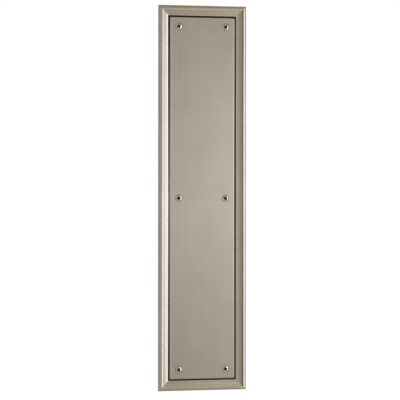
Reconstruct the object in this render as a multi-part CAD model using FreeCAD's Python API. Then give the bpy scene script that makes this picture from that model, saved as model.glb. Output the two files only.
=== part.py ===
import FreeCAD, Part
import math
import os

# Door finger plate: one cast brass plate with a mitred moulding round its rim, a sunk groove inside
# the moulding and a flat raised panel, held to the door by six raised countersunk wood screws.
# Lengths are in millimetres and angles in degrees.
# X runs across the plate, Z runs up the door, and the front of the plate faces -Y.
# The origin is the centre of the flat back, which lies on the door at y = 0.

# Plate outline
PLATE_WIDTH = 88.9
PLATE_LENGTH = 381.0

# Moulding section: insets run in from the outer edge and heights rise from the back.
# A bend is the angle by which an arc leaves its chord.
EDGE_HEIGHT = 2.8
SHOULDER_INSET = 0.9
SHOULDER_HEIGHT = 4.1
SHOULDER_BEND = 8.0
RIDGE_INSET = 3.1
RIDGE_HEIGHT = 4.76
SLOPE_BEND = 4.0
STEP_WIDTH = 0.9
STEP_DROP = 0.8
COVE_WIDTH = 2.0
OGEE_BEND = 8.0
MOULDING_WIDTH = 9.9
LIP_WIDTH = 0.4
LIP_HEIGHT = 1.8
LIP_ROUNDING = 0.2

# Groove and panel
GROOVE_WIDTH = 1.8
GROOVE_CORNER_RADIUS = 0.8
WEB_THICKNESS = 0.7
PANEL_HEIGHT = 2.1
PANEL_CORNER_RADIUS = 1.4
PANEL_ROUNDING = 0.5

# Screw places, from the plate's side and end edges to the screw's centre
SCREW_SIDE_INSET = 20.65
SCREW_END_INSET = 20.65

# Raised countersunk wood screw, its length counted from the rim of the head
HEAD_RADIUS = 3.3
HEAD_ANGLE = 82.0
CROWN_RISE = 1.2
SHANK_RADIUS = 1.5
SCREW_LENGTH = 19.0
THREAD_RADIUS = 1.75
THREAD_LENGTH = 12.7
THREAD_RUN_OUT = 0.6
POINT_LENGTH = 3.2
POINT_TIP_RADIUS = 0.15

# Cross recess in the head, across its arms at the crown and at its floor
RECESS_SPAN = 4.2
RECESS_ARM_WIDTH = 1.4
RECESS_DEPTH = 1.8
RECESS_FLOOR_SPAN = 1.9
RECESS_FLOOR_ARM_WIDTH = 0.6

# How far each screw's recess is turned, from the top pair down, left before right
RECESS_TURNS = (24.0, 52.0, 8.0, 66.0, 37.0, 15.0)

# Fit of a screw in its hole
HEAD_SINK = 0.35
SEAT_CLEARANCE = 0.02
THREAD_CLEARANCE = 0.25

# A cutter runs this far past the face that it opens
OVERRUN = 1.0

# An edge this close to a plane lies in it
FLATNESS = 1e-4

FORWARD = FreeCAD.Vector(0, -1, 0)
BACKWARD = FreeCAD.Vector(0, 1, 0)
UPWARD = FreeCAD.Vector(0, 0, 1)
ORIGIN = FreeCAD.Vector(0, 0, 0)

# The seat's fall in radius for each millimetre of depth
SEAT_SLOPE = math.tan(math.radians(HEAD_ANGLE / 2))

# The section runs on past the groove's outer line, so that the groove's corners can be round
SECTION_WIDTH = MOULDING_WIDTH + GROOVE_CORNER_RADIUS

# Heights of the screw's features above the back of the plate
RIM_HEIGHT = PANEL_HEIGHT - HEAD_SINK + SEAT_CLEARANCE
CROWN_HEIGHT = RIM_HEIGHT + CROWN_RISE
NECK_HEIGHT = RIM_HEIGHT - (HEAD_RADIUS - SHANK_RADIUS) / SEAT_SLOPE
TIP_HEIGHT = RIM_HEIGHT - SCREW_LENGTH
THREAD_TOP = TIP_HEIGHT + THREAD_LENGTH


def point(across, height, up=0.0):
    """A point at a height above the back of the plate."""
    return FreeCAD.Vector(across, -height, up)


def arc_between(start, end, bend):
    """An arc that bulges to the front, or sinks to the back if its bend is negative."""
    chord = end - start
    outward = chord.cross(UPWARD).normalize()
    if outward.dot(FORWARD) < 0:
        outward = outward.negative()
    bulge = chord.Length / 2 * math.tan(math.radians(bend) / 2)
    middle = (start + end) / 2 + outward * bulge
    return Part.Arc(start, middle, end).toShape()


def moulding_section():
    """The moulding's closed section, with the plate's outer edge at x = 0 and the groove at +X."""
    edge_top = point(0, EDGE_HEIGHT)
    shoulder = point(SHOULDER_INSET, SHOULDER_HEIGHT)
    ridge = point(RIDGE_INSET, RIDGE_HEIGHT)
    step_foot = point(RIDGE_INSET + STEP_WIDTH, RIDGE_HEIGHT - STEP_DROP)
    lip = point(MOULDING_WIDTH - LIP_WIDTH, LIP_HEIGHT)
    ogee_middle = step_foot + (lip - step_foot) * (COVE_WIDTH / (lip.x - step_foot.x))
    lip_end = point(SECTION_WIDTH, LIP_HEIGHT)
    back_inner = point(SECTION_WIDTH, 0)
    back_outer = point(0, 0)
    edges = [
        Part.makeLine(back_outer, edge_top),
        arc_between(edge_top, shoulder, SHOULDER_BEND),
        arc_between(shoulder, ridge, SLOPE_BEND),
        Part.makeLine(ridge, step_foot),
        arc_between(step_foot, ogee_middle, -OGEE_BEND),
        arc_between(ogee_middle, lip, OGEE_BEND),
        Part.makeLine(lip, lip_end),
        Part.makeLine(lip_end, back_inner),
        Part.makeLine(back_inner, back_outer),
    ]
    return Part.Face(Part.Wire(edges))


def mitred_strip(length):
    """One side of the moulding along the Z axis, mitred at both ends."""
    outer = length / 2
    inner = outer - SECTION_WIDTH
    run = moulding_section().extrude(UPWARD * length)
    run.translate(UPWARD * -outer)
    corners = [(0, -outer), (0, outer), (SECTION_WIDTH, inner), (SECTION_WIDTH, -inner), (0, -outer)]
    outline = Part.makePolygon([point(x, -OVERRUN, z) for x, z in corners])
    mitres = Part.Face(outline).extrude(FORWARD * (RIDGE_HEIGHT + 2 * OVERRUN))
    return run.common(mitres)


def moulding_ring():
    """The four sides of the moulding joined at their mitres."""
    left = mitred_strip(PLATE_LENGTH)
    left.translate(point(-PLATE_WIDTH / 2, 0))
    right = left.copy().rotate(ORIGIN, BACKWARD, 180)
    top = mitred_strip(PLATE_WIDTH)
    top.translate(point(-PLATE_LENGTH / 2, 0))
    top.rotate(ORIGIN, BACKWARD, 90)
    bottom = top.copy().rotate(ORIGIN, BACKWARD, 180)
    return left.fuse([right, top, bottom]).removeSplitter()


def is_square_to_plate(edge):
    """True for a straight edge that runs from front to back."""
    return edge.BoundBox.XLength < FLATNESS and edge.BoundBox.ZLength < FLATNESS


def edges_at(solid, height):
    """The edges of a solid that lie in the plane at a height."""
    level = [edge for edge in solid.Edges if edge.BoundBox.YLength < FLATNESS]
    return [edge for edge in level if abs(edge.BoundBox.YMin + height) < FLATNESS]


def rounded_block(inset, corner_radius, low, high):
    """A block with round corners, set in from the plate's outline, between two heights."""
    width = PLATE_WIDTH - 2 * inset
    length = PLATE_LENGTH - 2 * inset
    block = Part.makeBox(width, high - low, length, point(-width / 2, high, -length / 2))
    return block.makeFillet(corner_radius, [edge for edge in block.Edges if is_square_to_plate(edge)])


def moulded_frame():
    """The moulding, its opening cut to the groove's outer line and the lip's rim eased."""
    opening = rounded_block(MOULDING_WIDTH, GROOVE_CORNER_RADIUS, -OVERRUN, LIP_HEIGHT + OVERRUN)
    frame = moulding_ring().cut(opening)
    rim = [edge for edge in edges_at(frame, LIP_HEIGHT) if opening.BoundBox.isInside(edge.BoundBox)]
    return frame.makeFillet(LIP_ROUNDING, rim)


def raised_panel():
    """The flat panel inside the groove, with its front rim eased."""
    panel = rounded_block(MOULDING_WIDTH + GROOVE_WIDTH, PANEL_CORNER_RADIUS, 0, PANEL_HEIGHT)
    return panel.makeFillet(PANEL_ROUNDING, edges_at(panel, PANEL_HEIGHT))


def screw_places():
    """The centre of each screw on the back of the plate, with the turn of its recess."""
    across = PLATE_WIDTH / 2 - SCREW_SIDE_INSET
    up = PLATE_LENGTH / 2 - SCREW_END_INSET
    centres = [point(x, 0, z) for z in (up, 0, -up) for x in (-across, across)]
    return list(zip(centres, RECESS_TURNS))


def turned(outline_edges):
    """The solid of revolution about the Y axis of a closed outline."""
    return Part.Face(Part.Wire(outline_edges)).revolve(ORIGIN, BACKWARD, 360)


def screw_hole(centre):
    """The cutter for one clearance hole and its countersink."""
    hole_radius = THREAD_RADIUS + THREAD_CLEARANCE
    mouth_radius = HEAD_RADIUS + HEAD_SINK * SEAT_SLOPE
    throat_height = PANEL_HEIGHT - (mouth_radius - hole_radius) / SEAT_SLOPE
    corners = [
        point(0, -OVERRUN),
        point(hole_radius, -OVERRUN),
        point(hole_radius, throat_height),
        point(mouth_radius, PANEL_HEIGHT),
        point(mouth_radius, PANEL_HEIGHT + OVERRUN),
        point(0, PANEL_HEIGHT + OVERRUN),
        point(0, -OVERRUN),
    ]
    cutter = turned(Part.makePolygon(corners).Edges)
    return cutter.translate(centre)


def finger_plate():
    """The whole plate in one solid: frame, web behind the groove, panel and screw holes."""
    web = rounded_block(MOULDING_WIDTH, GROOVE_CORNER_RADIUS, 0, WEB_THICKNESS)
    blank = moulded_frame().fuse([web, raised_panel()])
    holes = [screw_hole(centre) for centre, _ in screw_places()]
    return blank.cut(holes).removeSplitter()


def screw_blank():
    """A screw about the Y axis before its recess: crown, seat, shank, thread's envelope and point."""
    apex = point(0, CROWN_HEIGHT)
    rim = point(HEAD_RADIUS, RIM_HEIGHT)
    crown_bend = 2 * math.degrees(math.atan(CROWN_RISE / HEAD_RADIUS))
    crown = arc_between(apex, rim, crown_bend / 2)
    below = [
        rim,
        point(SHANK_RADIUS, NECK_HEIGHT),
        point(SHANK_RADIUS, THREAD_TOP),
        point(THREAD_RADIUS, THREAD_TOP - THREAD_RUN_OUT),
        point(THREAD_RADIUS, TIP_HEIGHT + POINT_LENGTH),
        point(POINT_TIP_RADIUS, TIP_HEIGHT),
        point(0, TIP_HEIGHT),
        apex,
    ]
    return turned([crown] + Part.makePolygon(below).Edges)


def recess_arm():
    """A tapered slot along X, from above the crown to the recess floor."""
    steepening = 1 + OVERRUN / RECESS_DEPTH
    floor_end = RECESS_FLOOR_SPAN / 2
    floor_side = RECESS_FLOOR_ARM_WIDTH / 2
    mouth_end = floor_end + (RECESS_SPAN / 2 - floor_end) * steepening
    mouth_side = floor_side + (RECESS_ARM_WIDTH / 2 - floor_side) * steepening
    mouth_y = -CROWN_HEIGHT - OVERRUN
    floor_y = -CROWN_HEIGHT + RECESS_DEPTH
    return Part.makeWedge(
        -mouth_end, mouth_y, -mouth_side, -floor_side, -floor_end,
        mouth_end, floor_y, mouth_side, floor_side, floor_end,
    )


def wood_screw(centre, turn):
    """One screw in its place, with its cross recess turned to where the driver left it."""
    slot = recess_arm()
    cross = slot.fuse(slot.copy().rotate(ORIGIN, FORWARD, 90))
    screw = screw_blank().cut(cross)
    screw.rotate(ORIGIN, FORWARD, turn)
    return screw.translate(centre)


def write_part(name, solids):
    """Writes one node from its solids, after a look at each."""
    for solid in solids:
        if len(solid.Solids) != 1 or not solid.isValid():
            raise ValueError(f"{name} has a part that is not one sound solid")
        print(name, round(solid.Volume, 2), "mm3")
    node = solids[0] if len(solids) == 1 else Part.makeCompound(solids)
    node.exportStep(f"parts/{name}.step")


def main():
    """Writes the plate, and its six identical screws as one group of separate solids."""
    os.makedirs("parts", exist_ok=True)
    write_part("plate", [finger_plate()])
    write_part("fixing_screws", [wood_screw(centre, turn) for centre, turn in screw_places()])


main()
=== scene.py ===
import math

import bmesh
import bpy
from bpy.props import FloatProperty, FloatVectorProperty, IntProperty, PointerProperty
from mathutils import Matrix, Vector


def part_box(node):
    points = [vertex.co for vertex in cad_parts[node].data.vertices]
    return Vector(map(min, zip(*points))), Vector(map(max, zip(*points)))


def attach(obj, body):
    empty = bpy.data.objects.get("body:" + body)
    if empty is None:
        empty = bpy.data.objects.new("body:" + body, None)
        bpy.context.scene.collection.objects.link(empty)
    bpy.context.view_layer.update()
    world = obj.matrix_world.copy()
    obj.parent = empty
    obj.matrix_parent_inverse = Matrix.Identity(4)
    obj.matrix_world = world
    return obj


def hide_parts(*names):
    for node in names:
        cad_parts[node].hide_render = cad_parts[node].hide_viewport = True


bl_info = {
    "name": "Door Finger Plate",
    "version": (1, 0, 0),
    "blender": (4, 5, 0),
    "location": "View3D > Sidebar > Finger Plate",
    "description": "Dresses a moulded finger plate and its wood screws in satin nickel on a white ground",
    "category": "Object",
}

# X runs across the plate, Z runs up the door, and the front faces -Y.
# The back of the plate lies at y = 0, and a height is a distance in front of it.
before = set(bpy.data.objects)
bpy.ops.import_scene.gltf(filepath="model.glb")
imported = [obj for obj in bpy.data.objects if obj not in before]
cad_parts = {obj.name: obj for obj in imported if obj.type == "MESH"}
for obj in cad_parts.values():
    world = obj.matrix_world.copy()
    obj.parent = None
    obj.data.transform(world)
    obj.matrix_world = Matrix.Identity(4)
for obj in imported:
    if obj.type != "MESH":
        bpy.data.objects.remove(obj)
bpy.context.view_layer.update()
PLATE_LOW, PLATE_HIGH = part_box("plate")
SCREWS_LOW, SCREWS_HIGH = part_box("fixing_screws")

MM = 0.001
MM_PER_METRE = 1000.0
QUARTER_TURN = math.pi / 2

# Mesh fineness of the plate: points on each arc, and the spacing of the rest
EASING_STEPS = 3
SHOULDER_STEPS = 7
SLOPE_STEPS = 6
COVE_STEPS = 8
OGEE_STEPS = 12
CORNER_STEPS = 8
SQUARE_STEPS = 16
HOLE_STEPS = 4 * SQUARE_STEPS
EDGE_STEP = 1 * MM
FIELD_STEP = 8 * MM

# Mesh fineness of a screw
SCREW_STEPS = 64
CROWN_STEPS = 10
WALL_STEPS = 6
SEAT_STEPS = 8
THREAD_STEPS = 12
SHANK_STEP = 0.6 * MM

# An easing takes up to this share of the shorter side beside its corner
EASING_SHARE = 0.45
SHARP_ANGLE = math.radians(38)

# Material slots of the plate and of a screw
FRONT_SLOT, BACK_SLOT = 0, 1
HEAD_SLOT, RECESS_SLOT, SHANK_SLOT = 0, 1, 2

# Lamps and cards: where each stands, its width and its height, in metres; all face the plate's middle
KEY_LAMP = ((0.625, -0.16, 0.02), 0.56, 0.9)
FILL_LAMP = ((0.46, -0.66, 0.02), 0.44, 0.36)
LEFT_CARD = ((-0.70, -0.28, 0.0), 0.26, 1.2)
RIGHT_CARD = ((0.62, 0.42, 0.0), 0.62, 1.2)


def length(name, millimetres, description):
    """A property that holds a length."""
    return FloatProperty(
        name=name, description=description, default=millimetres * MM, unit="LENGTH", precision=5,
    )


def angle(name, degrees, description):
    """A property that holds an angle."""
    return FloatProperty(
        name=name, description=description, default=math.radians(degrees), unit="ROTATION",
    )


def colour(name, red, green, blue, description):
    """A property that holds a scene-linear colour."""
    return FloatVectorProperty(
        name=name, description=description, default=(red, green, blue), subtype="COLOR", min=0.0, max=1.0,
    )


def share(name, default, description):
    """A property that holds a plain number."""
    return FloatProperty(name=name, description=description, default=default, min=0.0)


class PlateSizes(bpy.types.PropertyGroup):
    """The section of the moulding, from the plate's outer edge in to the panel."""

    edge_height: length("Edge height", 2.8, "Height of the square outer edge")
    shoulder_inset: length("Shoulder inset", 0.9, "Inset of the line where the shoulder ends")
    shoulder_height: length("Shoulder height", 4.1, "Height where the shoulder ends")
    shoulder_bend: angle("Shoulder bend", 8, "How far the shoulder's arc leaves its chord")
    ridge_inset: length("Ridge inset", 3.1, "Inset of the moulding's highest line")
    slope_bend: angle("Slope bend", 4, "How far the outer slope's arc leaves its chord")
    step_width: length("Step width", 0.9, "Width of the small step inside the ridge")
    step_drop: length("Step drop", 0.8, "Fall of the small step inside the ridge")
    cove_width: length("Cove width", 2.0, "Width of the hollow half of the ogee")
    ogee_bend: angle("Ogee bend", 8, "How far each half of the ogee leaves its chord")
    moulding_width: length("Moulding width", 9.9, "Inset of the groove's outer wall")
    lip_width: length("Lip width", 0.4, "Width of the flat at the ogee's foot")
    lip_height: length("Lip height", 1.8, "Height of the flat at the ogee's foot")
    lip_rounding: length("Lip rounding", 0.2, "Rounding of the groove's outer rim")
    groove_width: length("Groove width", 1.8, "Width of the sunk groove")
    groove_corner: length("Groove corner", 0.8, "Plan radius of the groove's outer corners")
    web_thickness: length("Web thickness", 0.7, "Metal left behind the groove")
    panel_height: length("Panel height", 2.1, "Height of the flat panel")
    panel_corner: length("Panel corner", 1.4, "Plan radius of the panel's corners")
    panel_rounding: length("Panel rounding", 0.5, "Rounding of the panel's front rim")
    arris: length("Arris", 0.18, "Easing of the moulding's crisp lines")
    hole_radius: length("Hole radius", 2.0, "Radius of the clearance holes")


class ScrewSizes(bpy.types.PropertyGroup):
    """A raised countersunk wood screw."""

    head_radius: length("Head radius", 3.3, "Radius of the head's rim")
    head_angle: angle("Head angle", 82, "Full angle of the countersunk seat")
    head_sink: length("Head sink", 0.35, "How far the head's rim lies below the panel")
    crown_rise: length("Crown rise", 1.2, "Rise of the domed crown above its rim")
    rim_easing: length("Rim easing", 0.08, "Rounding of the head's rim")
    recess_easing: length("Recess easing", 0.08, "Rounding of the recess's mouth")
    shank_radius: length("Shank radius", 1.5, "Radius of the plain shank")
    crest_radius: length("Crest radius", 1.75, "Radius over the thread")
    root_radius: length("Root radius", 1.22, "Radius between the thread's turns")
    thread_length: length("Thread length", 12.7, "Length of thread and point together")
    thread_turns: IntProperty(name="Thread turns", description="Turns of the thread", default=9, min=3)
    point_length: length("Point length", 3.2, "Length of the gimlet point")
    tip_radius: length("Tip radius", 0.12, "Radius of the blunted tip")
    recess_span: length("Recess span", 4.2, "Span of the cross recess at the crown")
    recess_arm: length("Recess arm", 1.4, "Width of the recess's arms at the crown")
    recess_depth: length("Recess depth", 1.8, "Depth of the recess")
    floor_span: length("Floor span", 1.9, "Span of the recess at its floor")
    floor_arm: length("Floor arm", 0.6, "Width of the recess's arms at its floor")


class NickelFinish(bpy.types.PropertyGroup):
    """The brushed nickel plating, with its painted light and shade."""

    plate_colour: colour("Plate colour", 0.296, 0.259, 0.203, "Satin nickel of the plate")
    # Paler copy of the plating: the lit end of the painted sheen and light, and the wear on proud lines
    lit_and_worn_colour: colour("Worn colour", 0.342, 0.300, 0.236, "Paler nickel where hands have polished it")
    # Warm tint of painted shade where the moulding mirrors the surroundings rather than the lamps
    warm_shade_colour: colour("Cast colour", 1.0, 0.962, 0.865, "Warm cast of old lacquer on the moulding")
    # Painted shade deep in the groove: its colour, where it starts and how fast it grows
    groove_shade_colour: colour("Groove colour", 0.02, 0.0145, 0.009, "Toned metal deep in the groove")
    shade_height: length("Toning height", 1.3, "Height over the back where the groove's toning ends")
    shade_fade: length("Toning fade", 0.6, "Depth over which the toning reaches its full strength")
    # Level of the painted highlights along the moulding and the panel's rim
    highlight_level: share("Polish", 1.22, "Level of the rubbed lines beside the plating round them")
    back_colour: colour("Back colour", 0.26, 0.235, 0.19, "Dull plating on the back")
    screw_colour: colour("Screw colour", 0.40, 0.352, 0.265, "Brighter nickel of the screws")
    # Painted shade in the cross recess
    recess_shade_colour: colour("Recess colour", 0.03, 0.018, 0.005, "Tarnish in the cross recess")
    brass_colour: colour("Brass colour", 0.42, 0.34, 0.19, "Bare brass between the thread's turns")
    plate_roughness: share("Plate roughness", 0.36, "Roughness of the brushed plate")
    screw_roughness: share("Screw roughness", 0.2, "Roughness of the polished screw heads")
    brush_depth: length("Brush depth", 0.001, "Depth of the brushed lines")


class StudioSettings(bpy.types.PropertyGroup):
    """The camera of the photograph, the lamps and the floor."""

    camera_across: length("Camera across", -433.4, "Place of the camera across the plate")
    camera_back: length("Camera back", -1816.0, "Place of the camera in front of the plate")
    camera_up: length("Camera up", 15.0, "Height of the camera")
    camera_turn: angle("Camera turn", 13.37, "Turn of the camera to the right of the plate's normal")
    camera_tilt: angle("Camera tilt", -0.516, "Tilt of the camera above the level")
    camera_roll: angle("Camera roll", 0.057, "Roll of the camera")
    lens: FloatProperty(name="Lens", description="Focal length in mm", default=169.35)
    floor_drop: length("Floor drop", 350.0, "Distance of the floor below the plate")
    floor_size: length("Floor size", 12000.0, "Width of the floor")
    key_level: share("Key level", 6.35, "Power of the tall soft lamp on the right, in watts")
    fill_level: share("Fill level", 1.6, "Power of the small soft lamp at the front right, in watts")
    lamp_colour: colour("Lamp colour", 0.735, 0.80, 1.0, "Cool light of the soft lamps")
    world_level: share("World level", 0.9, "Light of the surroundings on matt surfaces")


# Where each screw's recess was left by the driver, in degrees
SCREW_TURNS = {
    "screw_top_left": 24,
    "screw_top_right": 52,
    "screw_middle_left": 8,
    "screw_middle_right": 66,
    "screw_bottom_left": 37,
    "screw_bottom_right": 15,
}


def screw_centres(head_radius):
    """Each screw's name and its centre in the plane of the back, as across and up."""
    across = SCREWS_HIGH.x - head_radius
    up = SCREWS_HIGH.z - head_radius
    places = [Vector((x, z)) for z in (up, 0.0, -up) for x in (-across, across)]
    return dict(zip(SCREW_TURNS, places))


# Lines of points


def arc_points(start, end, bend, steps):
    """Points after start up to end, on an arc that leaves its chord to the left by an angle."""
    chord = end - start
    left = Vector((-chord.y, chord.x))
    points = []
    for step in range(1, steps + 1):
        turn = bend * (2 * step / steps - 1)
        along = (math.sin(turn) + math.sin(bend)) / (2 * math.sin(bend))
        bulge = (math.cos(turn) - math.cos(bend)) / (2 * math.sin(bend))
        points.append(start + along * chord + bulge * left)
    return points


def eased(stations, closed=False):
    """A line of points from pairs of point and radius, each corner with a radius made a small arc."""
    path = []
    for index, (corner, radius) in enumerate(stations):
        if not radius:
            path.append(corner)
            continue
        following = (index + 1) % len(stations) if closed else index + 1
        before = stations[index - 1][0] - corner
        after = stations[following][0] - corner
        turn = math.pi - before.angle(after)
        room = EASING_SHARE * min(before.length, after.length)
        reach = min(radius * math.tan(turn / 2), room)
        start = corner + reach * before.normalized()
        end = corner + reach * after.normalized()
        side = 1 if before.cross(after) > 0 else -1
        path.append(start)
        path += arc_points(start, end, side * turn / 2, EASING_STEPS)
    return path


def spread(low, high, step):
    """Evenly spaced values after low up to high, about a step apart."""
    count = max(1, round((high - low) / step))
    return [low + (high - low) * index / count for index in range(1, count + 1)]


# Plate


def plate_section(sizes):
    """The plate's section as inset and height, from the back up the edge and in to the panel."""
    ridge_height = -PLATE_LOW.y
    edge_top = Vector((0, sizes.edge_height))
    shoulder = Vector((sizes.shoulder_inset, sizes.shoulder_height))
    ridge = Vector((sizes.ridge_inset, ridge_height))
    step_foot = ridge + Vector((sizes.step_width, -sizes.step_drop))
    lip = Vector((sizes.moulding_width - sizes.lip_width, sizes.lip_height))
    middle = step_foot + (lip - step_foot) * (sizes.cove_width / (lip.x - step_foot.x))
    panel_inset = sizes.moulding_width + sizes.groove_width
    groove_wall = sizes.moulding_width
    smooth = 0.0
    edge = [Vector((0, height)) for height in spread(0, sizes.edge_height, EDGE_STEP)]
    shoulder_arc = arc_points(edge_top, shoulder, sizes.shoulder_bend, SHOULDER_STEPS)
    slope_arc = arc_points(shoulder, ridge, sizes.slope_bend, SLOPE_STEPS)
    cove_arc = arc_points(step_foot, middle, -sizes.ogee_bend, COVE_STEPS)
    ogee_arc = arc_points(middle, lip, sizes.ogee_bend, OGEE_STEPS)
    stations = [(Vector((0, 0)), sizes.arris)]
    stations += [(point, smooth) for point in edge[:-1]]
    stations += [(edge_top, sizes.arris)]
    stations += [(point, smooth) for point in shoulder_arc[:-1]]
    stations += [(shoulder, 2 * sizes.arris)]
    stations += [(point, smooth) for point in slope_arc[:-1]]
    stations += [(ridge, 2 * sizes.arris)]
    stations += [((ridge + step_foot) / 2, smooth)]
    stations += [(step_foot, 2 * sizes.arris)]
    stations += [(point, smooth) for point in cove_arc + ogee_arc[:-1]]
    stations += [(lip, sizes.arris)]
    stations += [(Vector((groove_wall, sizes.lip_height)), sizes.lip_rounding)]
    stations += [(Vector((groove_wall, sizes.web_thickness)), sizes.lip_rounding)]
    stations += [(Vector((panel_inset, sizes.web_thickness)), sizes.lip_rounding)]
    stations += [(Vector((panel_inset, sizes.panel_height)), sizes.panel_rounding)]
    stations += [(Vector((panel_inset + 2 * sizes.panel_rounding, sizes.panel_height)), smooth)]
    first_flat = (Vector((2 * sizes.arris, 0)), smooth)
    return eased([first_flat] + stations)


def corner_radius(sizes, inset, height):
    """The plan radius of the plate's corners at an inset: none on the mitred moulding."""
    round_from = sizes.moulding_width - 1.01 * sizes.lip_rounding
    if inset < round_from:
        return 0.0
    if inset <= sizes.moulding_width:
        return sizes.groove_corner + sizes.moulding_width - inset
    panel_inset = sizes.moulding_width + sizes.groove_width
    crossed = min((inset - sizes.moulding_width) / sizes.groove_width, 1)
    radius = sizes.groove_corner + (sizes.panel_corner - sizes.groove_corner) * crossed
    return radius - max(inset - panel_inset, 0)


class PlateMesh:
    """A plate built from rings that run round it and flat fields that the screw holes open."""

    def __init__(self, field_inset, holes, square_half):
        self.mesh = bmesh.new()
        self.half_width = PLATE_HIGH.x
        self.half_length = PLATE_HIGH.z
        self.holes = holes
        self.square_half = square_half
        self.across = self.field_lines(self.half_width - field_inset, {hole.x for hole in holes})
        self.up = self.field_lines(self.half_length - field_inset, {hole.y for hole in holes})
        right, top = Vector((1, 0)), Vector((0, 1))
        self.sides = [
            (right, -top, self.half_width, self.half_length, self.across),
            (top, right, self.half_length, self.half_width, self.up),
            (-right, top, self.half_width, self.half_length, self.across),
            (-top, -right, self.half_length, self.half_width, self.up),
        ]

    def field_lines(self, reach, middles):
        """Grid lines over a flat field, with even divisions across each hole's square."""
        half = self.square_half
        lines = [-reach]
        for middle in sorted(middles):
            lines += spread(lines[-1], middle - half, FIELD_STEP)
            lines += spread(middle - half, middle + half, 2 * half / SQUARE_STEPS)
        return lines + spread(lines[-1], reach, FIELD_STEP)

    def vertex(self, plan, height):
        """A vertex at a place in plan and a height in front of the back."""
        return self.mesh.verts.new((plan.x, -height, plan.y))

    def ring(self, inset, height, radius):
        """A ring of vertices round the plate; a mitred corner repeats its one vertex."""
        vertices = []
        for way, out, half_run, half_out, lines in self.sides:
            for line in lines:
                vertices.append(self.vertex(way * line + out * (half_out - inset), height))
            centre = way * (half_run - inset - radius) + out * (half_out - inset - radius)
            if radius:
                for step in range(CORNER_STEPS + 1):
                    turn = QUARTER_TURN * step / CORNER_STEPS
                    place = centre + radius * (math.cos(turn) * out + math.sin(turn) * way)
                    vertices.append(self.vertex(place, height))
            else:
                vertices += [self.vertex(centre, height)] * (CORNER_STEPS + 1)
        return vertices

    def join(self, outer, inner):
        """Faces between two rings of equal count, with the mitres kept sharp."""
        for index, start in enumerate(outer):
            after = (index + 1) % len(outer)
            corners = list(dict.fromkeys((start, outer[after], inner[after], inner[index])))
            if len(corners) > 2:
                self.mesh.faces.new(corners)
            elif len(corners) == 2:
                self.mesh.edges.get(corners).smooth = False

    def hole_ring(self, hole, radius, height):
        """A ring of vertices round a screw hole, from its lower left."""
        vertices = []
        for step in range(HOLE_STEPS):
            turn = math.radians(225) + 2 * math.pi * step / HOLE_STEPS
            vertices.append(self.vertex(hole + radius * Vector((math.cos(turn), math.sin(turn))), height))
        return vertices

    def field(self, height):
        """A flat field of squares, open round each hole; gives its rim and each opening's rim."""
        made = {}

        def at(column, row):
            if (column, row) not in made:
                made[column, row] = self.vertex(Vector((self.across[column], self.up[row])), height)
            return made[column, row]

        for column in range(len(self.across) - 1):
            for row in range(len(self.up) - 1):
                middle = Vector((
                    (self.across[column] + self.across[column + 1]) / 2,
                    (self.up[row] + self.up[row + 1]) / 2,
                ))
                if not any(self.in_square(middle - hole) for hole in self.holes):
                    lower = (at(column, row), at(column + 1, row))
                    upper = (at(column + 1, row + 1), at(column, row + 1))
                    self.mesh.faces.new(lower + upper)
        last_column, last_row = len(self.across) - 1, len(self.up) - 1
        rim = []
        for line in self.boundary(0, last_column, 0, last_row, closing=True):
            vertices = [at(column, row) for column, row in line]
            rim += vertices + [vertices[-1]] * (CORNER_STEPS + 1)
        openings = []
        for hole in self.holes:
            left = self.nearest(self.across, hole.x - self.square_half)
            low = self.nearest(self.up, hole.y - self.square_half)
            lines = self.boundary(left, left + SQUARE_STEPS, low, low + SQUARE_STEPS, closing=False)
            openings.append([at(column, row) for line in lines for column, row in line])
        return rim, openings

    def in_square(self, offset):
        """True inside the square that is kept clear round a hole."""
        return max(abs(offset.x), abs(offset.y)) < self.square_half

    def nearest(self, lines, value):
        """The index of the grid line at a value."""
        return min(range(len(lines)), key=lambda index: abs(lines[index] - value))

    def boundary(self, left, right, low, high, closing):
        """The four sides of a block of grid squares, each with its last corner if closing."""
        more = 1 if closing else 0
        columns = list(range(left, right + more))
        rows = list(range(low, high + more))
        back_columns = list(range(right, left - more, -1))
        back_rows = list(range(high, low - more, -1))
        return [
            [(column, low) for column in columns],
            [(right, row) for row in rows],
            [(column, high) for column in back_columns],
            [(left, row) for row in back_rows],
        ]


def hole_section(sizes, screw):
    """A screw hole's section as radius and height, from the panel down its countersink to the back."""
    slope = math.tan(screw.head_angle / 2)
    mouth = screw.head_radius + screw.head_sink * slope
    throat = sizes.panel_height - (mouth - sizes.hole_radius) / slope
    easing = sizes.arris / 2
    return eased([
        (Vector((mouth + 4 * easing, sizes.panel_height)), 0.0),
        (Vector((mouth, sizes.panel_height)), easing),
        (Vector((sizes.hole_radius, throat)), easing),
        (Vector((sizes.hole_radius, 0)), easing),
        (Vector((sizes.hole_radius + 4 * easing, 0)), 0.0),
    ])


def plate_mesh(sizes, screw):
    """The whole plate as one closed mesh."""
    field_inset = sizes.moulding_width + sizes.groove_width + sizes.panel_corner + 2 * sizes.arris
    holes = list(screw_centres(screw.head_radius).values())
    square_half = 1.8 * screw.head_radius
    plate = PlateMesh(field_inset, holes, square_half)
    back_rim, back_openings = plate.field(0)
    front_rim, front_openings = plate.field(sizes.panel_height)
    outer = back_rim
    for point in plate_section(sizes):
        inner = plate.ring(point.x, point.y, corner_radius(sizes, point.x, point.y))
        plate.join(outer, inner)
        outer = inner
    plate.join(outer, front_rim)
    section = hole_section(sizes, screw)
    for hole, front_opening, back_opening in zip(holes, front_openings, back_openings):
        outer = front_opening
        for point in section:
            inner = plate.hole_ring(hole, point.x, point.y)
            plate.join(outer, inner)
            outer = inner
        plate.join(outer, back_opening)
    return plate.mesh


# Screws


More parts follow.
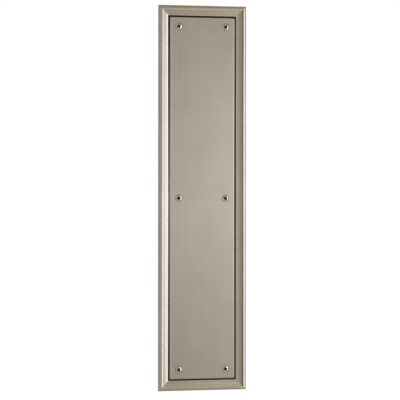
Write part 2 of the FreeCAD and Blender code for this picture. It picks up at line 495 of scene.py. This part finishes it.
def cross_outline(span, arm, easing):
    """The cross recess in plan, as a closed line of points from one inner corner round."""
    reach, half = span / 2, arm / 2
    middle = (reach + half) / 2
    near, far = (half + middle) / 2, (reach + middle) / 2
    stations = []
    for quarter in range(4):
        turn = Matrix.Rotation(QUARTER_TURN * quarter, 2)
        arm_stations = [
            ((half, -half), 2 * easing), ((near, -half), 0.0), ((far, -half), 0.0),
            ((reach, -half), easing), ((reach, half), easing), ((far, half), 0.0), ((near, half), 0.0),
        ]
        stations += [(turn @ Vector(place), radius) for place, radius in arm_stations]
    return eased(stations, closed=True)


class ScrewMesh:
    """A screw built from rings about the Y axis, from the rim of its head both ways."""

    def __init__(self, sizes):
        self.sizes = sizes
        self.mesh = bmesh.new()

    def ring(self, places, heights):
        """A ring of vertices at places in plan and heights."""
        corners = [(place.x, -height, place.y) for place, height in zip(places, heights)]
        return [self.mesh.verts.new(corner) for corner in corners]

    def circle(self, radius):
        """Places round a circle that face the points of the cross outline."""
        places = []
        for step in range(SCREW_STEPS):
            turn = (step - EASING_STEPS / 2) / SCREW_STEPS * 2 * math.pi - QUARTER_TURN / 2
            places.append(radius * Vector((math.cos(turn), math.sin(turn))))
        return places

    def round_ring(self, radius, height):
        """A ring of vertices round a circle at one height."""
        return self.ring(self.circle(radius), [height] * SCREW_STEPS)

    def join(self, first, second, material=HEAD_SLOT):
        """Faces between two rings."""
        for index in range(SCREW_STEPS):
            after = (index + 1) % SCREW_STEPS
            face = self.mesh.faces.new((first[index], first[after], second[after], second[index]))
            face.material_index = material

    def close(self, ring, height, material):
        """A fan that closes a ring at a point on the axis."""
        tip = self.mesh.verts.new((0, -height, 0))
        for index in range(SCREW_STEPS):
            face = self.mesh.faces.new((ring[index], ring[(index + 1) % SCREW_STEPS], tip))
            face.material_index = material

    def crown(self, rim, rim_radius, crown_height):
        """The domed crown inside the rim, and the cross recess in it."""
        sizes = self.sizes

        def dome(place):
            return dome_height(sizes, crown_height, place.length)

        easing = sizes.recess_easing
        edge = cross_outline(sizes.recess_span + 2 * easing, sizes.recess_arm + 2 * easing, 3 * easing)
        outside = self.circle(rim_radius)
        ring = rim
        for step in range(1, CROWN_STEPS + 1):
            blend = step / CROWN_STEPS
            places = [start.lerp(end, blend) for start, end in zip(outside, edge)]
            inner = self.ring(places, [dome(place) for place in places])
            self.join(ring, inner)
            ring = inner
        edge_heights = [dome(place) for place in edge]
        for step in range(1, EASING_STEPS + 1):
            turn = QUARTER_TURN * step / EASING_STEPS
            grown = 2 * easing * (1 - math.sin(turn))
            drop = easing * (1 - math.cos(turn))
            places = cross_outline(sizes.recess_span + grown, sizes.recess_arm + grown, 3 * easing)
            inner = self.ring(places, [height - drop for height in edge_heights])
            self.join(ring, inner, RECESS_SLOT)
            ring = inner
        floor_height = crown_height - sizes.recess_depth
        for step in range(1, WALL_STEPS + 1):
            sunk = step / WALL_STEPS
            span = sizes.recess_span + (sizes.floor_span - sizes.recess_span) * sunk
            arm = sizes.recess_arm + (sizes.floor_arm - sizes.recess_arm) * sunk
            heights = [(height - easing) * (1 - sunk) + floor_height * sunk for height in edge_heights]
            inner = self.ring(cross_outline(span, arm, 2 * easing), heights)
            self.join(ring, inner, RECESS_SLOT)
            ring = inner
        self.close(ring, floor_height - easing, RECESS_SLOT)

    def turned(self, ring, stations):
        """Rings along a section of radius and height pairs, from a given ring; gives the last one."""
        for radius, height in stations:
            inner = self.round_ring(radius, height)
            self.join(ring, inner, SHANK_SLOT)
            ring = inner
        return ring

    def thread(self, top, top_height):
        """A right-handed wood thread from a ring down to the gimlet point."""
        sizes = self.sizes
        samples = THREAD_STEPS
        turns = sizes.thread_turns
        pitch = sizes.thread_length / turns
        rows = samples * (turns - 1)
        outline = self.circle(1.0)

        def vertex(column, row):
            fallen = pitch * (row / samples + 1 - column / SCREW_STEPS)
            radius = thread_radius(sizes, fallen, row / samples)
            place = outline[column % SCREW_STEPS] * radius
            return self.mesh.verts.new((place.x, fallen - top_height, place.y))

        columns = [[vertex(column, row) for row in range(rows + 1)] for column in range(1, SCREW_STEPS)]
        bottom = self.round_ring(sizes.tip_radius, top_height - sizes.thread_length)
        last = [top[0]] + [vertex(SCREW_STEPS, row) for row in range(1, rows + 1)]
        tail = [vertex(0, row) for row in range(rows - samples + 1, rows)]
        first = last[samples:] + tail + [bottom[0]]
        columns = [first] + columns + [last]
        faces = []
        for left, right in zip(columns, columns[1:]):
            for row in range(rows):
                faces.append((left[row], right[row], right[row + 1], left[row + 1]))
        ring_top = top + [top[0]]
        ring_bottom = bottom + [bottom[0]]
        for index, (left, right) in enumerate(zip(columns, columns[1:])):
            faces.append((ring_top[index], ring_top[index + 1], right[0], left[0]))
            faces.append((left[rows], right[rows], ring_bottom[index + 1], ring_bottom[index]))
        faces[-2 * SCREW_STEPS] += tuple(reversed(last[1:samples]))
        faces[-1] = (columns[-2][rows], last[rows], *tail, bottom[0], bottom[-1])
        for corners in faces:
            face = self.mesh.faces.new(tuple(dict.fromkeys(corners)))
            face.material_index = SHANK_SLOT
        self.close(bottom, top_height - sizes.thread_length - sizes.tip_radius / 2, SHANK_SLOT)


def thread_radius(sizes, fallen, phase):
    """The thread's radius at a distance below its top, for a place in its profile."""
    off_crest = abs(phase % 1 - 0.5)
    crest_half, flank = 0.03, 0.2
    lift = min(max(1 - (off_crest - crest_half) / flank, 0), 1)
    run_in = 1.5 * sizes.thread_length / sizes.thread_turns
    started = min(fallen / run_in, 1)
    left = max((sizes.thread_length - fallen) / sizes.point_length, 0)
    roundness = 0.35
    taper = min(roundness * math.sqrt(left) + (1 - roundness) * left, 1)
    root = sizes.tip_radius + (sizes.root_radius - sizes.tip_radius) * taper
    crest = sizes.tip_radius + (sizes.crest_radius - sizes.tip_radius) * min(left, 1)
    cut = root + max(crest - root, 0) * lift
    return sizes.shank_radius + (cut - sizes.shank_radius) * started


def dome_height(sizes, crown_height, radius):
    """The height of the domed crown at a radius."""
    dome_radius = (sizes.head_radius ** 2 + sizes.crown_rise ** 2) / (2 * sizes.crown_rise)
    return crown_height - dome_radius + math.sqrt(dome_radius ** 2 - radius ** 2)


def screw_mesh(sizes):
    """One whole screw about the Y axis as one closed mesh."""
    screw = ScrewMesh(sizes)
    crown_height = -SCREWS_LOW.y
    rim_height = crown_height - sizes.crown_rise
    slope = math.tan(sizes.head_angle / 2)
    neck_height = rim_height - (sizes.head_radius - sizes.shank_radius) / slope
    thread_top = sizes.thread_length + sizes.tip_radius / 2 - SCREWS_HIGH.y
    on_dome = sizes.head_radius - 2 * sizes.rim_easing
    rim_line = eased([
        (Vector((on_dome, dome_height(sizes, crown_height, on_dome))), 0.0),
        (Vector((sizes.head_radius, rim_height)), sizes.rim_easing),
        (Vector((sizes.shank_radius, neck_height)), 0.0),
    ])
    rim = screw.round_ring(*rim_line[0])
    screw.crown(rim, rim_line[0].x, crown_height)
    seat_top, neck = rim_line[-2], rim_line[-1]
    seat = [seat_top.lerp(neck, step / SEAT_STEPS) for step in range(1, SEAT_STEPS + 1)]
    falls = spread(0, neck_height - thread_top, SHANK_STEP)
    shank = [(sizes.shank_radius, neck_height - fall) for fall in falls]
    top = screw.turned(rim, rim_line[1:-1] + seat + shank)
    screw.thread(top, thread_top)
    return screw.mesh


def finished_object(name, mesh, materials):
    """An object from a built mesh, with its normals, sharp lines and materials set."""
    bmesh.ops.recalc_face_normals(mesh, faces=mesh.faces)
    mesh.edges.index_update()
    for face in mesh.faces:
        face.smooth = True
    data = bpy.data.meshes.new(name)
    kept_sharp = [edge.index for edge in mesh.edges if not edge.smooth]
    mesh.to_mesh(data)
    mesh.free()
    data.set_sharp_from_angle(angle=SHARP_ANGLE)
    for edge in kept_sharp:
        data.edges[edge].use_edge_sharp = True
    for material in materials:
        data.materials.append(material)
    piece = bpy.data.objects.new(name, data)
    bpy.context.scene.collection.objects.link(piece)
    weighted = piece.modifiers.new("even_shading", "WEIGHTED_NORMAL")
    weighted.keep_sharp = True
    return piece


# Shading


class Shade:
    """One output of a node; arithmetic on it adds Math nodes."""

    def __init__(self, tree, socket):
        self.tree = tree
        self.socket = socket

    def maths(self, operation, *values):
        """A Math node over some values."""
        return self.tree.add("ShaderNodeMath", {"operation": operation}, dict(enumerate(values)))

    def __add__(self, other):
        return self.maths("ADD", self, other)

    __radd__ = __add__

    def __mul__(self, other):
        return self.maths("MULTIPLY", self, other)

    __rmul__ = __mul__

    def __sub__(self, other):
        return self.maths("SUBTRACT", self, other)

    def __rsub__(self, other):
        return self.maths("SUBTRACT", other, self)

    def __truediv__(self, other):
        return self.maths("DIVIDE", self, other)

    def __abs__(self):
        return self.maths("ABSOLUTE", self)

    def __lt__(self, other):
        return self.maths("LESS_THAN", self, other)

    def __gt__(self, other):
        return self.maths("GREATER_THAN", self, other)

    def lesser(self, other):
        """The smaller of two values."""
        return self.maths("MINIMUM", self, other)

    def greater(self, other):
        """The larger of two values."""
        return self.maths("MAXIMUM", self, other)

    def root(self):
        """The square root."""
        return self.maths("SQRT", self)

    def held(self):
        """The value kept between nought and one."""
        return self.lesser(1.0).greater(0.0)

    def hump(self, middle, half_width):
        """One at a middle value, falling to nought at a distance each side of it."""
        return (1 - abs(self - middle) / half_width).held()


class ShadeTree:
    """The nodes of one material or world."""

    def __init__(self, owner):
        owner.use_nodes = True
        self.nodes = owner.node_tree.nodes
        self.links = owner.node_tree.links
        self.nodes.clear()

    def add(self, kind, settings=None, values=None, output=0):
        """A node of a kind, with its settings made first and its sockets then set or linked."""
        node = self.nodes.new(kind)
        for name, setting in (settings or {}).items():
            setattr(node, name, setting)
        for name, value in (values or {}).items():
            if isinstance(value, Shade):
                self.links.new(value.socket, node.inputs[name])
            else:
                node.inputs[name].default_value = value
        return Shade(self, node.outputs[output]) if node.outputs else None

    def place(self):
        """The place on the object in millimetres, as across, depth and up."""
        position = self.add("ShaderNodeTexCoord", output="Object")
        values = {0: position, "Scale": MM_PER_METRE}
        scaled = self.add("ShaderNodeVectorMath", {"operation": "SCALE"}, values)
        return [self.add("ShaderNodeSeparateXYZ", {}, {0: scaled}, output=axis) for axis in range(3)]

    def vector(self, x, y, z):
        """A vector from three values."""
        return self.add("ShaderNodeCombineXYZ", {}, {0: x, 1: y, 2: z})

    def noise(self, coordinate, scale=1.0, detail=2.0):
        """Soft noise between nought and one."""
        values = {"Vector": coordinate, "Scale": scale, "Detail": detail}
        return self.add("ShaderNodeTexNoise", {}, values)

    def mixed(self, factor, first, second):
        """A colour between two colours."""
        return self.blended("MIX", factor, first, second)

    def tinted(self, factor, first, second):
        """A colour multiplied by a second one, by a share."""
        return self.blended("MULTIPLY", factor, first, second)

    def blended(self, kind, factor, first, second):
        """A Mix node over two colours; 6 and 7 are its colour inputs, and 2 its colour output."""
        settings = {"data_type": "RGBA", "blend_type": kind}
        values = {"Factor": factor, 6: first, 7: second}
        return self.add("ShaderNodeMix", settings, values, output=2)

    def chosen(self, factor, first, second):
        """The second value where the factor is one, and the first where it is nought."""
        return first + factor * (second - first)

    def bump(self, height, strength, distance):
        """A normal pushed about by a height."""
        values = {"Height": height, "Strength": strength, "Distance": distance}
        return self.add("ShaderNodeBump", {}, values)

    def surface(self, values):
        """The metal shader and the material's output."""
        shader = self.add("ShaderNodeBsdfPrincipled", {}, {"Metallic": 1.0, **values})
        self.add("ShaderNodeOutputMaterial", {}, {"Surface": shader})


def opaque(rgb, level=1.0):
    """A colour with its level changed and an alpha added."""
    return (*[channel * level for channel in rgb], 1.0)


def new_tree(name):
    """A new material and its nodes."""
    material = bpy.data.materials.new(name)
    return material, ShadeTree(material)


class PlateFace:
    """Where a point of the plate lies, in millimetres and in shares, for all that varies over it."""

    def __init__(self, tree, sizes):
        self.tree = tree
        half_width, half_length = PLATE_HIGH.x / MM, PLATE_HIGH.z / MM
        self.across, self.depth, self.up = tree.place()
        self.from_side = half_width - abs(self.across)
        self.from_end = half_length - abs(self.up)
        self.inset = self.from_side.lesser(self.from_end)

        # Insets of the moulding's lines, of the groove's outer wall and of the panel's foot
        self.shoulder = sizes.shoulder_inset / MM
        self.ridge = sizes.ridge_inset / MM
        self.step_foot = self.ridge + sizes.step_width / MM
        self.cove_foot = self.step_foot + sizes.cove_width / MM
        self.groove = sizes.moulding_width / MM
        self.panel = self.groove + sizes.groove_width / MM

        # One on a part of the plate and nought elsewhere
        self.left = self.across < 0.0
        self.right = self.across > 0.0
        self.lower = self.up < 0.0
        self.upper = self.up > 0.0
        self.beside = self.from_side < self.from_end
        self.on_end = (self.from_end < self.from_side) * (self.inset < self.groove)
        self.off_end = 1 - self.on_end

        # Shares that grow from nought to one: left to right, top to bottom, and from mid height
        # to both ends, to the top alone and to the bottom alone
        rise = self.up / half_length
        self.rightward = 0.5 + self.across / (2 * half_width)
        self.downward = 0.5 - self.up / (2 * half_length)
        self.endward = abs(rise)
        self.topward = rise.held()
        self.footward = (0 - rise).held()

        # The way of the brushing, and the way over it
        self.along = tree.chosen(self.on_end, self.up, self.across)
        self.over = tree.chosen(self.on_end, self.across, self.up)

    def strip(self, middle, half_width):
        """A soft strip that runs round the plate, from the inset of its middle and its half width."""
        return self.inset.hump(middle, half_width)

    def brushed(self, fineness, run):
        """Noise drawn out along the brushing, from its grains in a millimetre over it and along it."""
        place = self.tree.vector(self.over * fineness, self.depth * fineness, self.along * run)
        return self.tree.noise(place)


def painted_groove_shade(face, finish):
    """Painted shade deep in the groove, thinned by painted reflected light on parts of its wall, floor
    and foot.
    """
    foot_middle = face.panel - 0.4 + 0.4 * face.endward
    left_foot = face.from_side.hump(foot_middle, 1.5 - 0.9 * face.endward)
    left_foot = face.left * left_foot * (1 - 0.8 * face.topward)
    right_wall = face.right * face.from_side.hump(face.groove, 0.4) * (1 - face.footward)
    right_floor = face.right * face.from_side.hump(face.panel - 0.5, 0.7) * face.endward
    low_foot = face.lower * face.from_end.hump(face.panel - 0.1, 0.7)
    # Painted reflected light: the shade is thinner on the left foot, the right wall and floor, and the
    # lower foot
    painted_light = (0.95 * left_foot + 0.5 * right_wall + 0.6 * right_floor) * (face.from_end > face.panel)
    painted_light = painted_light + 0.5 * low_foot * (face.from_side > face.panel)
    sunk = (finish.shade_height / MM + face.depth) / (finish.shade_fade / MM)
    return sunk.held() * (face.inset > face.cove_foot) * (1 - painted_light)


def sheen_and_wear_tint(face, sizes, grain):
    """How pale the plating is: wear with painted sheen on its proud lines, painted light that fades
    towards the ends and grows to the right on the ends, and painted shade in the cove, on the outer slope
    and along the ends' edge.
    """
    # Wear on the proud lines, with painted sheen on the lip and the panel's rim
    wear_and_sheen = 1.1 * face.on_end * face.strip(face.ridge + 0.6, 1.6)
    wear_and_sheen = wear_and_sheen + 0.8 * face.off_end * face.strip(face.groove - 0.7, 1.6)
    wear_and_sheen = wear_and_sheen + 0.9 * face.strip(face.panel + 0.4 * sizes.panel_rounding / MM, 0.7)
    # Painted light: the panel and the right moulding lighter at mid height, darker towards the ends
    falloff_area = face.right * (face.inset > face.ridge) * face.off_end
    falloff_area = (face.inset > face.groove).greater(falloff_area)
    painted_falloff = falloff_area * (0.15 - 0.5 * face.endward)
    # Painted shade in the cove, on the outer slope towards the right and on the ends' outer edge; the
    # shoulder painted lighter
    cove_shade = 0.7 * face.strip(face.step_foot + 0.7 * sizes.cove_width / MM, 1.2)
    slope_shade = 0.25 * face.rightward * (face.inset < face.ridge)
    slope_shade = face.off_end * (slope_shade - 0.3 * face.strip(face.shoulder + 0.5, 0.8))
    edge_shade = 0.8 * face.on_end * face.strip(face.shoulder, 1.7)
    # Painted light: the end mouldings lighter towards the right
    ends_lit_from_right = face.on_end * (0.7 * (face.rightward - 0.5) - 0.17)
    return (0.5 + grain + wear_and_sheen + painted_falloff + ends_lit_from_right - cove_shade - slope_shade - edge_shade).held()


def warm_shade_tint(face):
    """How much warm painted shade tint the moulding takes: most on the ends and towards the right, less
    on its lit lip and step.
    """
    kept = (face.on_end + 0.5 * face.rightward).lesser(1.0) * (face.inset < face.groove)
    lit_lip = 0.7 * face.strip(face.groove, 1.4)
    lit_step = 0.5 * face.strip(face.step_foot + 0.2, 1.2)
    return kept * (1 - lit_lip - lit_step)


def painted_highlights(face):
    """Painted highlights along the lines of the moulding and of the panel's rim, graded from top to
    bottom.
    """
    left_step = 2.2 * face.downward * face.strip(face.step_foot, 0.8)
    left_ogee = (2.0 * face.downward - 0.8).held() * face.strip(face.cove_foot + 0.8, 1.4)
    left_lip = 0.6 * (1.5 * face.downward).lesser(1.0) * face.strip(face.groove - 0.5, 0.8)
    left_rim = 0.8 * (1 - face.downward) * face.strip(face.panel + 0.8, 0.7)
    right_slope = 0.8 * face.footward * face.strip(face.ridge - 1.1, 0.7)
    right_ridge = (2.0 - 3.0 * face.downward).held() * face.strip(face.ridge, 0.7)
    right_ogee = (0.4 + face.downward) * face.strip(face.cove_foot + 1.5, 0.8)
    right_lip = face.strip(face.groove - 0.9, 1.3)
    both_rims = 0.6 * face.strip(face.panel + 0.4 + 0.8 * face.left, 0.8)
    sides = both_rims + face.left * (left_step + left_ogee + left_lip + left_rim)
    sides = sides + face.right * (right_slope + right_ridge + right_ogee + right_lip)
    low_step = 0.5 * face.lower * face.strip(face.step_foot + 0.5, 1.0)
    ends = face.strip(face.groove, 1.4) + low_step
    return face.beside * sides + face.on_end * ends


def screw_gap_shadows(face, screw):
    """A soft ring of painted shadow round each screw head; the plate's symmetry makes one screw stand for
    all six.
    """
    centre = screw_centres(screw.head_radius)["screw_top_right"] / MM
    from_screw_up = abs(face.up).lesser(abs(abs(face.up) - centre.y))
    from_screw_across = abs(face.across) - centre.x
    distance = (from_screw_across * from_screw_across + from_screw_up * from_screw_up).root()
    return distance.hump(screw.head_radius / MM + 0.15, 0.75)


def painted_shade_lines(face, screw):
    """Painted shade: fine dark lines along the moulding, at its mitres and a painted shadow round the
    screw heads.
    """
    side_shoulder = face.rightward + 0.7 * face.endward * face.right
    side_shoulder = 0.6 * face.off_end * side_shoulder * face.strip(face.shoulder - 0.5, 1.1)
    end_shoulder = 0.18 * face.on_end * face.strip(face.shoulder + 0.1, 1.4)
    shaded = face.endward * face.right.greater(face.upper)
    step = face.off_end * (0.1 + 0.3 * shaded) * face.strip(face.ridge + 0.5, 0.5)
    mitre = 0.35 * (face.from_side - face.from_end).hump(0.0, 0.35)
    mitre = mitre * (face.inset > face.ridge) * (face.inset < face.groove)
    left_slope = 0.4 * (1 - face.downward) * face.strip(face.ridge - 0.2, 0.6)
    left_cove = 0.14 * face.strip(face.step_foot + 1.1, 0.7)
    left_low_cove = 0.22 * face.footward * face.strip(face.step_foot + 1.2, 0.6)
    left_ogee = 0.18 * face.strip(face.cove_foot + 2.2, 0.7)
    left_wall = face.endward * face.strip(face.groove, 0.5)
    right_step = 0.25 * face.footward * face.strip(face.step_foot, 0.5)
    right_lip = 0.4 * face.footward * face.strip(face.groove - 0.1, 0.5)
    right_foot = 0.6 * face.strip(face.panel, 0.45)
    sides = face.left * (left_slope + left_cove + left_low_cove + left_ogee + left_wall)
    sides = sides + face.right * (right_step + right_lip + right_foot)
    rings = 0.15 * screw_gap_shadows(face, screw)
    return side_shoulder + end_shoulder + step + mitre + face.beside * sides + rings


def brushed_nickel(name, finish, sizes, screw):
    """Satin nickel brushed along each side of the moulding and up the panel, with painted shade in the
    groove and along its lines, and painted highlights.
    """
    material, tree = new_tree(name)
    face = PlateFace(tree, sizes)
    lines = face.brushed(14.0, 0.06) - 0.5
    streaks = face.brushed(0.8, 0.01) - 0.5
    clouds = tree.noise(tree.vector(face.across, 0.0, face.up), scale=0.03) - 0.5
    sunk = painted_groove_shade(face, finish)
    # The tint mixes a darker and a paler copy of the plating: painted light and shade, wear and grain
    tint = sheen_and_wear_tint(face, sizes, 0.4 * streaks + 0.6 * clouds + 0.3 * lines)
    base = tree.mixed(tint, opaque(finish.plate_colour, 0.85), opaque(finish.lit_and_worn_colour))
    # Warm painted shade tint over the moulding
    base = tree.tinted(warm_shade_tint(face), base, opaque(finish.warm_shade_colour))
    # Painted highlights
    base = tree.tinted(painted_highlights(face), base, opaque((1, 1, 1), finish.highlight_level))
    # Painted shade: the groove's shade and the dark lines, mixed towards the groove's shade colour
    painted_shade = (sunk + painted_shade_lines(face, screw)).held()
    tree.surface({
        "Base Color": tree.mixed(painted_shade, base, opaque(finish.groove_shade_colour)),
        "Roughness": finish.plate_roughness + 0.06 * streaks + 0.06 * lines + 0.1 * sunk,
        "Normal": tree.bump(lines, 0.6, finish.brush_depth),
    })
    return material


def dull_back(name, finish):
    """Plating on the flat back, ground but not polished."""
    material, tree = new_tree(name)
    across, depth, up = tree.place()
    grain = tree.noise(tree.vector(across * 0.25, depth, up * 5.0), detail=4.0)
    pits = tree.noise(tree.vector(across, depth, up), scale=1.4, detail=6.0)
    tint = (0.5 + 0.8 * (grain - 0.5) + 0.8 * (pits - 0.5)).held()
    base = tree.mixed(tint, opaque(finish.back_colour, 0.8), opaque(finish.back_colour, 1.15))
    tree.surface({
        "Base Color": base,
        "Roughness": 0.5 + 0.2 * (pits - 0.5),
        "Normal": tree.bump(grain + pits, 0.5, 0.03 * MM),
    })
    return material


def bright_nickel(name, finish):
    """Polished plating on a turned screw head, with fine rings from the lathe."""
    material, tree = new_tree(name)
    across, depth, up = tree.place()
    radius = (across * across + up * up).root()
    rings = tree.noise(tree.vector(radius * 9.0, depth, 0.0), detail=2.0)
    smears = tree.noise(tree.vector(across, depth, up), scale=0.6, detail=3.0)
    tint = (0.5 + 0.5 * (rings - 0.5) + 0.9 * (smears - 0.5)).held()
    base = tree.mixed(tint, opaque(finish.screw_colour, 0.85), opaque(finish.screw_colour, 1.1))
    tree.surface({
        "Base Color": base,
        "Roughness": finish.screw_roughness + 0.1 * (smears - 0.5),
        "Normal": tree.bump(rings, 0.3, 0.01 * MM),
    })
    return material


def recess_painted_shade(name, finish):
    """Painted shade in the cross recess, fading towards its mouth."""
    material, tree = new_tree(name)
    across, depth, up = tree.place()
    blotches = tree.noise(tree.vector(across, depth, up), scale=2.5, detail=4.0)
    # Painted shade: darker deeper in the recess
    sunk = ((3.1 + depth) / 0.3 + 0.5 * (blotches - 0.5)).held()
    base = tree.mixed(sunk, opaque(finish.screw_colour, 0.5), opaque(finish.recess_shade_colour))
    tree.surface({
        "Base Color": base,
        "Roughness": 0.35 + 0.25 * blotches,
        "Normal": tree.bump(blotches, 0.3, 0.03 * MM),
    })
    return material


def rolled_thread(name, finish):
    """Thin plating on the shank and thread, with the brass showing warm between the turns."""
    material, tree = new_tree(name)
    across, depth, up = tree.place()
    scale_marks = tree.noise(tree.vector(across, depth * 0.6, up), scale=1.6, detail=5.0)
    tint = (0.5 + 1.4 * (scale_marks - 0.5)).held()
    base = tree.mixed(tint, opaque(finish.brass_colour), opaque(finish.screw_colour))
    tree.surface({
        "Base Color": base,
        "Roughness": 0.3 + 0.2 * scale_marks,
        "Normal": tree.bump(scale_marks, 0.3, 0.02 * MM),
    })
    return material


# Stage


def seen_directly(tree):
    """One on rays from the camera and on what metal and glass show, and nought on matt light."""
    kinds = ["Is Camera Ray", "Is Glossy Ray", "Is Transmission Ray"]
    camera, glossy, passed = [tree.add("ShaderNodeLightPath", output=kind) for kind in kinds]
    return camera.greater(glossy).greater(passed)


def white_world(settings):
    """Surroundings that look white and light matt surfaces at a plain level."""
    world = bpy.data.worlds.new("white_ground")
    bpy.context.scene.world = world
    tree = ShadeTree(world)
    level = tree.chosen(seen_directly(tree), settings.world_level, 1.0)
    background = tree.add("ShaderNodeBackground", {}, {"Color": (1, 1, 1, 1), "Strength": level})
    tree.add("ShaderNodeOutputWorld", {}, {"Surface": background})


def pale_floor(settings):
    """A wide white floor below the plate that keeps its shadow."""
    half = settings.floor_size / 2
    height = PLATE_LOW.z - settings.floor_drop
    mesh = bmesh.new()
    outline = ((-half, -half), (half, -half), (half, half), (-half, half))
    mesh.faces.new([mesh.verts.new((x, y, height)) for x, y in outline])
    data = bpy.data.meshes.new("floor")
    mesh.to_mesh(data)
    mesh.free()
    material, tree = new_tree("floor_white")
    matt = tree.add("ShaderNodeBsdfDiffuse", {}, {"Color": (0.85, 0.85, 0.85, 1)})
    lift = tree.add("ShaderNodeEmission", {}, {"Strength": 0.25 * seen_directly(tree)})
    both = tree.add("ShaderNodeAddShader", {}, {0: matt, 1: lift})
    tree.add("ShaderNodeOutputMaterial", {}, {"Surface": both})
    data.materials.append(material)
    floor = bpy.data.objects.new("floor", data)
    bpy.context.scene.collection.objects.link(floor)


def facing_plate(place):
    """The turn that points a lamp or a card from its place at the middle of the plate."""
    return (-Vector(place)).to_track_quat("-Z", "Y").to_euler()


def soft_lamp(name, stand, power, tint):
    """A large soft lamp that the camera doesn't see."""
    place, width, height = stand
    data = bpy.data.lights.new(name, "AREA")
    data.shape = "RECTANGLE"
    data.size = width
    data.size_y = height
    data.energy = power
    data.color = tint
    lamp = bpy.data.objects.new(name, data)
    lamp.location = place
    lamp.rotation_euler = facing_plate(place)
    lamp.visible_camera = False
    bpy.context.scene.collection.objects.link(lamp)


def dark_card(name, stand):
    """A matt black card that only darkens what the metal mirrors."""
    place, width, height = stand
    mesh = bmesh.new()
    bmesh.ops.create_grid(mesh, x_segments=1, y_segments=1, size=0.5)
    data = bpy.data.meshes.new(name)
    mesh.to_mesh(data)
    mesh.free()
    material, tree = new_tree(name)
    matt = tree.add("ShaderNodeBsdfDiffuse", {}, {"Color": (0.01, 0.01, 0.01, 1)})
    tree.add("ShaderNodeOutputMaterial", {}, {"Surface": matt})
    data.materials.append(material)
    card = bpy.data.objects.new(name, data)
    card.scale = (width, height, 1)
    card.location = place
    card.rotation_euler = facing_plate(place)
    card.visible_camera = False
    bpy.context.scene.collection.objects.link(card)


def photo_camera(settings):
    """The camera where the photograph was taken from."""
    data = bpy.data.cameras.new("photo_camera")
    data.sensor_width = 36
    data.lens = settings.lens
    data.clip_start = 0.05
    data.clip_end = 100
    camera = bpy.data.objects.new("photo_camera", data)
    place = Matrix.Translation((settings.camera_across, settings.camera_back, settings.camera_up))
    turn = Matrix.Rotation(-settings.camera_turn, 4, "Z")
    tilt = Matrix.Rotation(QUARTER_TURN + settings.camera_tilt, 4, "X")
    roll = Matrix.Rotation(settings.camera_roll, 4, "Z")
    camera.matrix_world = place @ turn @ tilt @ roll
    bpy.context.scene.collection.objects.link(camera)
    bpy.context.scene.camera = camera


# Operators, panel and registration


class FINGERPLATE_OT_plate(bpy.types.Operator):
    """Make the moulded plate"""

    bl_idname = "finger_plate.plate"
    bl_label = "Make Plate"

    def execute(self, context):
        sizes = context.scene.finger_plate_sizes
        finish = context.scene.finger_plate_finish
        screw = context.scene.finger_plate_screw
        mesh = plate_mesh(sizes, screw)
        front = brushed_nickel("satin_nickel", finish, sizes, screw)
        back = dull_back("dull_nickel_back", finish)
        plate = finished_object("moulded_plate", mesh, [front, back])
        for face in plate.data.polygons:
            depths = [plate.data.vertices[index].co.y for index in face.vertices]
            face.material_index = BACK_SLOT if min(depths) > -0.01 * MM else FRONT_SLOT
        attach(plate, "root")
        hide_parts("plate")
        return {"FINISHED"}


class FINGERPLATE_OT_screws(bpy.types.Operator):
    """Make the six wood screws"""

    bl_idname = "finger_plate.screws"
    bl_label = "Make Screws"

    def execute(self, context):
        sizes = context.scene.finger_plate_screw
        finish = context.scene.finger_plate_finish
        materials = [
            bright_nickel("bright_nickel", finish),
            recess_painted_shade("recess_painted_shade", finish),
            rolled_thread("rolled_thread", finish),
        ]
        for name, centre in screw_centres(sizes.head_radius).items():
            screw = finished_object(name, screw_mesh(sizes), materials)
            place = Matrix.Translation((centre.x, 0, centre.y))
            screw.matrix_world = place @ Matrix.Rotation(-math.radians(SCREW_TURNS[name]), 4, "Y")
            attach(screw, "root")
            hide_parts("fixing_screws")
        return {"FINISHED"}


class FINGERPLATE_OT_stage(bpy.types.Operator):
    """Set up the floor, the lamps, the surroundings and the camera"""

    bl_idname = "finger_plate.stage"
    bl_label = "Set Up Studio"

    def execute(self, context):
        settings = context.scene.finger_plate_studio
        context.scene.view_settings.view_transform = "Standard"
        white_world(settings)
        pale_floor(settings)
        soft_lamp("key_lamp", KEY_LAMP, settings.key_level, settings.lamp_colour)
        soft_lamp("fill_lamp", FILL_LAMP, settings.fill_level, settings.lamp_colour)
        dark_card("left_card", LEFT_CARD)
        dark_card("right_card", RIGHT_CARD)
        photo_camera(settings)
        return {"FINISHED"}


class FINGERPLATE_PT_panel(bpy.types.Panel):
    """The pieces of the finger plate"""

    bl_idname = "FINGERPLATE_PT_panel"
    bl_label = "Finger Plate"
    bl_space_type = "VIEW_3D"
    bl_region_type = "UI"
    bl_category = "Finger Plate"

    def draw(self, context):
        for operator in OPERATORS:
            self.layout.operator(operator.bl_idname)
        for name in SETTINGS:
            group = getattr(context.scene, name)
            column = self.layout.column(align=True)
            for setting in group.bl_rna.properties.keys():
                if setting not in {"rna_type", "name"}:
                    column.prop(group, setting)


OPERATORS = [FINGERPLATE_OT_plate, FINGERPLATE_OT_screws, FINGERPLATE_OT_stage]
SETTINGS = {
    "finger_plate_sizes": PlateSizes,
    "finger_plate_screw": ScrewSizes,
    "finger_plate_finish": NickelFinish,
    "finger_plate_studio": StudioSettings,
}
CLASSES = [*SETTINGS.values(), *OPERATORS, FINGERPLATE_PT_panel]


def register():
    for each in CLASSES:
        bpy.utils.register_class(each)
    for name, group in SETTINGS.items():
        setattr(bpy.types.Scene, name, PointerProperty(type=group))


def unregister():
    for name in SETTINGS:
        delattr(bpy.types.Scene, name)
    for each in reversed(CLASSES):
        bpy.utils.unregister_class(each)


def main():
    """Makes the whole scene."""
    register()
    bpy.ops.finger_plate.plate()
    bpy.ops.finger_plate.screws()
    bpy.ops.finger_plate.stage()


if __name__ == "__main__":
    main()
